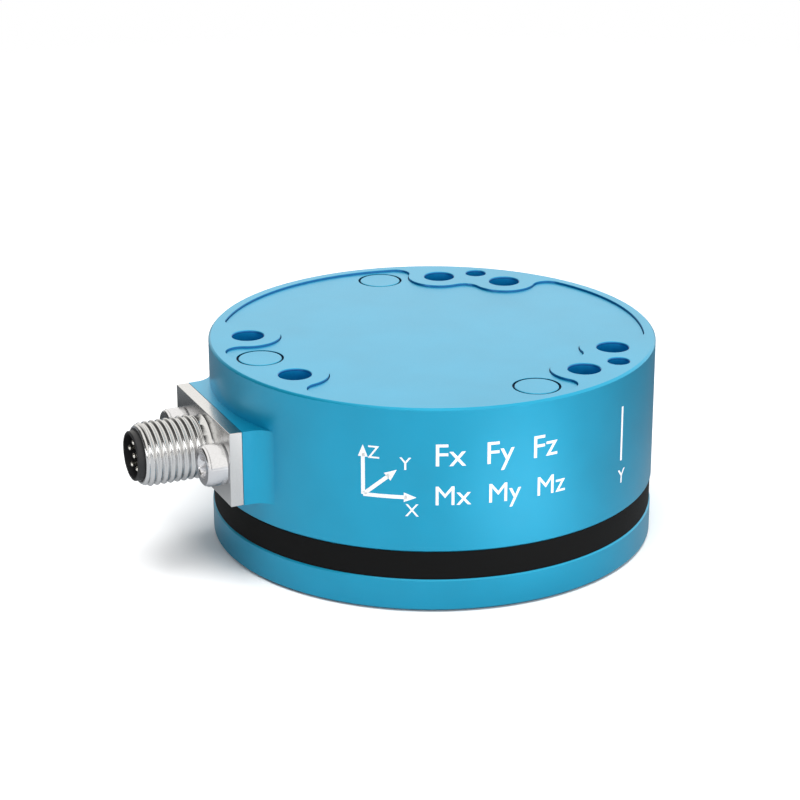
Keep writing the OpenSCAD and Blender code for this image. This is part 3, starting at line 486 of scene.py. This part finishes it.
def connector_body():
    """The CAD shell's plate and spigot with a threaded barrel: relief, thread and lead-in."""
    bm = bmesh.new()
    helical_flank(bm)
    turn_down_thread(bm)
    thread_foot = open_edges(bm, THREAD_START)
    thread_end = open_edges(bm, THREAD_END)
    pour(shell_behind_barrel(), bm)
    plate_rim = open_edges(bm, BARREL_FOOT, outer_than=MID_WALL_R)
    bore_rim = open_edges(bm, BARREL_FOOT, inner_than=MID_WALL_R)
    pour(barrel_lip(radius_of(bore_rim[0].verts[0]) / MM), bm)
    lip_rim = open_edges(bm, LIP_FOOT, outer_than=MID_WALL_R)
    lip_bore = open_edges(bm, LIP_FOOT, inner_than=MID_WALL_R)
    relief = ring(bm, ROOT_R - 0.02, BARREL_FOOT + RELIEF_H)
    for first, second in ((plate_rim, relief), (relief, thread_foot),
                          (thread_end, lip_rim), (bore_rim, lip_bore)):
        bmesh.ops.bridge_loops(bm, edges=first + second)
    bmesh.ops.recalc_face_normals(bm, faces=bm.faces)
    bmesh.ops.transform(bm, matrix=ON_CONNECTOR, verts=bm.verts)
    return bm


# ----------------------------------------------------------------- flange screws

screws_low, screws_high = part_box("flange_screws")
HEAD_R = 3.85
HEAD_H = 3.9
SEAT_BREAK = 0.25
SHANK_R = 2.0
SOCKET_DEPTH = 2.0
SOCKET_R = 1.75
DRILL_POINT = 0.5
KNURLS = 44
KNURL_DEPTH = 0.018
SIXTH = math.radians(60)

# The head's shoulder, as steps inwards from its side and down from its top
SHOULDER = ((0, 0.75), (0.08, 0.62), (0.16, 0.5), (0.22, 0.2), (0.45, 0))


def socket_screw(offset):
    """A knurled socket-head screw whose head stands on the flange plate."""
    seat, top = FLANGE_FACE, FLANGE_FACE + HEAD_H
    tail = -screws_high.x / MM
    floor = top - SOCKET_DEPTH
    shank = [(0, tail), (SHANK_R - 0.3, tail), (SHANK_R, tail + 0.4), (SHANK_R, seat)]
    foot = [(HEAD_R - SEAT_BREAK, seat), (HEAD_R, seat + SEAT_BREAK)]
    shoulder = [(HEAD_R - inwards, top - down) for inwards, down in SHOULDER]
    socket = [(SOCKET_R + 0.5, top), (SOCKET_R + 0.28, top - 0.2), (SOCKET_R, floor),
              (0, floor - DRILL_POINT)]
    screw = bmesh.new()
    turned(screw, shank + foot + shoulder + socket, steps=5 * KNURLS)
    for vert in screw.verts:
        angle = math.atan2(vert.co.y, vert.co.x)
        height = vert.co.z / MM
        on_side = seat + 0.1 < height < top - 0.55 and radius_of(vert) > (HEAD_R - 0.1) * MM
        if on_side:
            wave = 0.5 + 0.5 * math.cos(KNURLS * angle)
            set_radius(vert, radius_of(vert) - KNURL_DEPTH * MM * wave ** 2)
        if abs(height - floor) < TOUCH:
            hexagon = math.cos(SIXTH / 2) / math.cos(angle % SIXTH - SIXTH / 2)
            set_radius(vert, radius_of(vert) * hexagon)
    bmesh.ops.translate(screw, verts=screw.verts, vec=(0, offset * MM, 0))
    return screw


def flange_screw_pair():
    bm = bmesh.new()
    for offset in (screws_low.y / MM + HEAD_R, screws_high.y / MM - HEAD_R):
        pour(socket_screw(offset), bm)
    bmesh.ops.transform(bm, matrix=ON_CONNECTOR, verts=bm.verts)
    return bm


# ------------------------------------------------------- pieces in place of nodes

RIM_EDGES = above(COVER_Z - 0.5)
TOP_EDGE = above(COVER_Z - 0.05)

add_piece("housing_body", softened_copy("housing", BODY_BREAK, where=RIM_EDGES),
          "anodised_blue", "housing", finish=housing_shaded_blue, round_wall=BODY_R)
add_piece("cover_top", softened_copy("cover_plate", BODY_BREAK, where=TOP_EDGE),
          "cover_blue", "cover_plate")
add_piece("cover_caps", softened_copy("cover_plugs", PLUG_BREAK, where=TOP_EDGE),
          "plug_blue", "cover_plugs")
add_piece("seal_ring", softened_copy("seal_band", SEAL_BREAK, 3), "seal_black", "seal_band")
add_piece("connector_body", connector_body(), "nickel", "connector_shell", crease=62)
add_piece("knurled_screws", flange_screw_pair(), "bright_screw", "flange_screws")


# ------------------------------------------------------------------- white print

PRINT_T = 0.01
STRIP_W = 0.4


def turned_plan(bm, degrees):
    """Turn a flat plan round its origin."""
    bmesh.ops.rotate(bm, verts=bm.verts, cent=(0, 0, 0),
                     matrix=Matrix.Rotation(math.radians(degrees), 3, "Z"))


def plan_of_words(words, size):
    """Flat letters as a bmesh, with their lower left corner at the origin."""
    curve = bpy.data.curves.new("letters", "FONT")
    curve.body = words
    curve.size = size
    curve.resolution_u = 6
    holder = bpy.data.objects.new("letters", curve)
    scene.collection.objects.link(holder)
    mesh = bpy.data.meshes.new_from_object(holder)
    bpy.data.objects.remove(holder)
    bm = bmesh.new()
    bm.from_mesh(mesh)
    bpy.data.meshes.remove(mesh)
    low_x = min(v.co.x for v in bm.verts)
    low_y = min(v.co.y for v in bm.verts)
    bmesh.ops.translate(bm, verts=bm.verts, vec=(-low_x, -low_y, 0))
    return bm


def plan_of_bar(length, width, turn):
    """A flat bar from the origin along x, turned."""
    bm = bmesh.new()
    bmesh.ops.create_grid(bm, x_segments=1, y_segments=1, size=0.5)
    bmesh.ops.translate(bm, verts=bm.verts, vec=(0.5, 0, 0))
    bmesh.ops.scale(bm, verts=bm.verts, vec=(length, width, 1))
    turned_plan(bm, turn)
    return bm


def plan_of_head(reach, size, turn):
    """An arrow's triangular head whose tip is at a distance from the origin, turned."""
    bm = bmesh.new()
    bmesh.ops.create_circle(bm, cap_ends=True, segments=3, radius=size)
    turned_plan(bm, -90)
    bmesh.ops.scale(bm, verts=bm.verts, vec=(1.15, 0.8, 1))
    tip = max(v.co.x for v in bm.verts)
    bmesh.ops.translate(bm, verts=bm.verts, vec=(reach - tip, 0, 0))
    turned_plan(bm, turn)
    return bm


def cut_into_strips(sheet):
    """Cut a flat sheet across, so that it can follow the round wall."""
    left = min(v.co.x for v in sheet.verts)
    right = max(v.co.x for v in sheet.verts)
    for step in range(1, math.ceil((right - left) / STRIP_W)):
        bmesh.ops.bisect_plane(sheet, geom=sheet.verts[:] + sheet.edges[:] + sheet.faces[:],
                               dist=1e-5, plane_co=(left + step * STRIP_W, 0, 0),
                               plane_no=(1, 0, 0))


def wrapped_print(name, azimuth, height, plans):
    """Lay flat plans, each with its place, round the body's wall from an azimuth and a height."""
    sheet = bmesh.new()
    for plan, (x, y) in plans:
        bmesh.ops.translate(plan, verts=plan.verts, vec=(x, y, 0))
        pour(plan, sheet)
    cut_into_strips(sheet)
    bmesh.ops.recalc_face_normals(sheet, faces=sheet.faces)
    if sheet.faces[0].normal.z < 0:
        bmesh.ops.reverse_faces(sheet, faces=sheet.faces[:])
    raised = bmesh.ops.extrude_face_region(sheet, geom=sheet.faces[:])
    tops = [v for v in raised["geom"] if isinstance(v, bmesh.types.BMVert)]
    bmesh.ops.translate(sheet, verts=tops, vec=(0, 0, 2 * PRINT_T))
    start = math.radians(azimuth)
    for vert in sheet.verts:
        radius = BODY_R - PRINT_T + vert.co.z
        angle = start + vert.co.x / BODY_R
        vert.co = millimetres(radius * math.cos(angle), radius * math.sin(angle),
                              height + vert.co.y)
    bmesh.ops.recalc_face_normals(sheet, faces=sheet.faces)
    add_piece(name, sheet, "socket_white", finish=white_print)


def words_alone(words, size):
    return [(plan_of_words(words, size), (0, 0))]


SIGN_LINE = 0.7
SIGN_HEAD = 1.3
SIGN_LETTER = 3.4
HEAD_OVERLAP = 1.6

# Each axis of the sign: its letter, turn and length, and the place of its letter
SIGN_AXES = (("Z", 90, 9.4, (0.9, 7.0)), ("X", 0, 9.6, (7.6, -3.6)), ("Y", 40, 8.0, (6.6, 5.2)))


def axis_sign():
    """Three axis arrows from one point, with their letters."""
    plans = []
    for letter, turn, length, place in SIGN_AXES:
        plans.append((plan_of_bar(length - HEAD_OVERLAP, SIGN_LINE, turn), (0, 0)))
        plans.append((plan_of_head(length, SIGN_HEAD, turn), (0, 0)))
        plans.append((plan_of_words(letter, SIGN_LETTER), place))
    return plans


axis_mark = [(plan_of_bar(10.5, 0.55, 90), (0, 0))]
wrapped_print("axis_mark_y", azimuth=299.6, height=22.1, plans=axis_mark)
wrapped_print("axis_letter_y", azimuth=298.4, height=17.6, plans=words_alone("Y", 3.9))
wrapped_print("axis_sign", azimuth=228.5, height=22.0, plans=axis_sign())
wrapped_print("load_letters_f", azimuth=246.0, height=26.6, plans=words_alone("Fx  Fy  Fz", 6.0))
wrapped_print("load_letters_m", azimuth=246.0, height=19.4, plans=words_alone("Mx  My  Mz", 5.2))


# --------------------------------------------------------------- floor and light

# Lengths from here on are in metres
FLOOR_R = 1.5
FLOOR_DROP = 0.0002
FADE_FROM = 0.16
FADE_TO = 0.5

# Across the floor towards this azimuth, its paint passes from near to far between two places:
# painted light near the front, painted shade far behind
FLOOR_AZIMUTH = 50
FAR_FROM = -0.07
FAR_TO = 0.1
NEAR_LIT_PAINT = (0.44, 0.45, 0.46, 1)
FAR_SHADE_PAINT = (0.09, 0.11, 0.13, 1)
SEEN_PAINT = (0.86, 0.86, 0.86)

# Round patches of painted light and painted shade on the floor, which the wall and the connector
# mirror: place, radius and paint
PAINTED_LIGHT_PATCHES = (((0.018, -0.1, 0), 0.06, (1, 1, 1)), ((-0.072, 0.063, 0), 0.065, (0, 0, 0)))


def disc(name, radius, z):
    mesh = bpy.data.meshes.new(name)
    bm = bmesh.new()
    bmesh.ops.create_circle(bm, cap_ends=True, segments=96, radius=radius)
    bmesh.ops.translate(bm, verts=bm.verts, vec=(0, 0, z))
    bm.to_mesh(mesh)
    bm.free()
    piece = bpy.data.objects.new(name, mesh)
    scene.collection.objects.link(piece)
    return piece


def painted_falloff(tree, place):
    """Painted light and shade: paint that is paler near the sensor's front and darker far behind
    it, where the studio's light would fall off.
    """
    turn = tree.nodes.new("ShaderNodeMapping")
    turn.inputs["Rotation"].default_value = (0, 0, math.radians(-FLOOR_AZIMUTH))
    split = tree.nodes.new("ShaderNodeSeparateXYZ")
    paint = tree.nodes.new("ShaderNodeMix")
    paint.data_type = "RGBA"
    paint.inputs["A"].default_value = NEAR_LIT_PAINT
    paint.inputs["B"].default_value = FAR_SHADE_PAINT
    tree.links.new(place, turn.inputs["Vector"])
    tree.links.new(turn.outputs["Vector"], split.inputs["Vector"])
    tree.links.new(ranged(tree, split.outputs["X"], FAR_FROM, FAR_TO, smooth=True),
                   paint.inputs["Factor"])
    return paint.outputs["Result"]


def fade_floor_out(tree, place, camera_ray, shader):
    """Let the floor pass into the white backdrop far out, as a curved studio sweep does."""
    far_out = ranged(tree, distance_to(tree, (0, 0, 0), place), FADE_FROM, FADE_TO, smooth=True)
    clear = tree.nodes.new("ShaderNodeBsdfTransparent")
    both = tree.nodes.new("ShaderNodeMixShader")
    tree.links.new(combined(tree, "MULTIPLY", far_out, camera_ray), both.inputs["Fac"])
    tree.links.new(shader.outputs["BSDF"], both.inputs[1])
    tree.links.new(clear.outputs["BSDF"], both.inputs[2])
    tree.links.new(both.outputs["Shader"], tree.nodes["Material Output"].inputs["Surface"])


def light_floor():
    """A pale floor. For all but camera rays its far side reflects less, a painted shade as where a
    studio's light falls off behind, and it holds patches of painted light and shade.
    """
    floor = disc("floor", FLOOR_R, -FLOOR_DROP)
    material, tree, shader = new_material("floor with painted light and shade")
    place = tree.nodes.new("ShaderNodeTexCoord").outputs["Object"]
    camera_ray = tree.nodes.new("ShaderNodeLightPath").outputs["Is Camera Ray"]
    paint = painted_falloff(tree, place)
    for centre, radius, colour in PAINTED_LIGHT_PATCHES:
        patch = ranged(tree, distance_to(tree, centre, place), radius, 0.0, smooth=True)
        paint = blended(tree, patch, paint, colour)
    paint = blended(tree, camera_ray, paint, SEEN_PAINT)
    tree.links.new(paint, shader.inputs["Base Color"])
    shader.inputs["Roughness"].default_value = 0.9
    shader.inputs["Specular IOR Level"].default_value = 0.1
    fade_floor_out(tree, place, camera_ray, shader)
    floor.data.materials.append(material)


def direction(azimuth, elevation):
    """The unit vector that points to an azimuth and an elevation."""
    az, el = math.radians(azimuth), math.radians(elevation)
    return Vector((math.cos(az) * math.cos(el), math.sin(az) * math.cos(el), math.sin(el)))


ROOM_LEVEL = 0.5
PANEL_LEVEL = 1.1
PANEL_TINT = (1.02, 1.0, 0.96, 1)
SCREEN_LEVEL = 0.06
SCREEN_AZIMUTH = 168
SCREEN_ELEVATION = -10

# Cosines of the angles from the screen's middle at which it begins and is full
SCREEN_EDGE = 0.1
SCREEN_FULL = 0.6


def studio_panels(tree):
    """How bright the room looks in each direction: pale, with a dark screen on one side."""
    coords = tree.nodes.new("ShaderNodeTexCoord")
    towards = tree.nodes.new("ShaderNodeVectorMath")
    towards.operation = "DOT_PRODUCT"
    towards.inputs[1].default_value = direction(SCREEN_AZIMUTH, SCREEN_ELEVATION)
    tree.links.new(coords.outputs["Generated"], towards.inputs[0])
    return ranged(tree, towards.outputs["Value"], SCREEN_EDGE, SCREEN_FULL,
                  PANEL_LEVEL, SCREEN_LEVEL, smooth=True)


def light_world():
    """White for the camera, the studio's panels for metal and glass, a plain level otherwise."""
    world = bpy.data.worlds.new("studio")
    world.use_nodes = True
    scene.world = world
    tree = world.node_tree
    tree.nodes.clear()
    out = tree.nodes.new("ShaderNodeOutputWorld")
    rays = tree.nodes.new("ShaderNodeLightPath")
    mirrored = combined(tree, "MAXIMUM", rays.outputs["Is Glossy Ray"],
                        rays.outputs["Is Transmission Ray"])
    room, panels, backdrop = (tree.nodes.new("ShaderNodeBackground") for _ in range(3))
    room.inputs["Color"].default_value = (1, 1, 1, 1)
    room.inputs["Strength"].default_value = ROOM_LEVEL
    panels.inputs["Color"].default_value = PANEL_TINT
    tree.links.new(studio_panels(tree), panels.inputs["Strength"])
    backdrop.inputs["Color"].default_value = (1, 1, 1, 1)
    surroundings = tree.nodes.new("ShaderNodeMixShader")
    seen = tree.nodes.new("ShaderNodeMixShader")
    tree.links.new(mirrored, surroundings.inputs["Fac"])
    tree.links.new(room.outputs["Background"], surroundings.inputs[1])
    tree.links.new(panels.outputs["Background"], surroundings.inputs[2])
    tree.links.new(rays.outputs["Is Camera Ray"], seen.inputs["Fac"])
    tree.links.new(surroundings.outputs["Shader"], seen.inputs[1])
    tree.links.new(backdrop.outputs["Background"], seen.inputs[2])
    tree.links.new(seen.outputs["Shader"], out.inputs["Surface"])


LAMP_AIM = Vector((0, 0, 0.02))


def softbox(name, azimuth, elevation, distance, size, power, mirrored=True):
    """A rectangular lamp that looks at the body; a lamp that isn't mirrored shows in no gloss."""
    lamp = bpy.data.lights.new(name, "AREA")
    lamp.shape = "RECTANGLE"
    lamp.size, lamp.size_y = size
    lamp.energy = power
    place = direction(azimuth, elevation)
    piece = bpy.data.objects.new(name, lamp)
    piece.location = LAMP_AIM + distance * place
    piece.rotation_euler = place.to_track_quat("Z", "Y").to_euler()
    piece.visible_glossy = mirrored
    scene.collection.objects.link(piece)


# The camera stands at this azimuth, and its turns are in radians
VIEW_AZIMUTH = 244.95
CAMERA_REACH = 0.41724
CAMERA_HEIGHT = 0.17927
CAMERA_LENS = 103.885
CAMERA_PAN = 0.0145736
CAMERA_TILT = 0.354970
CAMERA_ROLL = -0.00200179


def place_camera():
    data = bpy.data.cameras.new("camera")
    data.sensor_width = 36
    data.lens = CAMERA_LENS
    data.clip_start = 0.01
    camera = bpy.data.objects.new("camera", data)
    azimuth = math.radians(VIEW_AZIMUTH)
    camera.location = (CAMERA_REACH * math.cos(azimuth), CAMERA_REACH * math.sin(azimuth),
                       CAMERA_HEIGHT)
    heading = azimuth + math.pi / 2 - 2 * math.pi + CAMERA_PAN
    turn = (Matrix.Rotation(heading, 4, "Z")
            @ Matrix.Rotation(math.pi / 2 - CAMERA_TILT, 4, "X")
            @ Matrix.Rotation(CAMERA_ROLL, 4, "Z"))
    camera.rotation_euler = turn.to_euler()
    scene.collection.objects.link(camera)
    scene.camera = camera


place_camera()
light_floor()
light_world()
softbox("key softbox", azimuth=VIEW_AZIMUTH + 42, elevation=13, distance=1.0,
        size=(0.34, 0.34), power=6, mirrored=False)
softbox("overhead softbox", azimuth=VIEW_AZIMUTH, elevation=80, distance=1.2,
        size=(0.9, 0.9), power=19, mirrored=False)
softbox("front fill", azimuth=VIEW_AZIMUTH - 40, elevation=12, distance=1.3,
        size=(0.8, 0.3), power=2)

scene.view_settings.view_transform = "Standard"
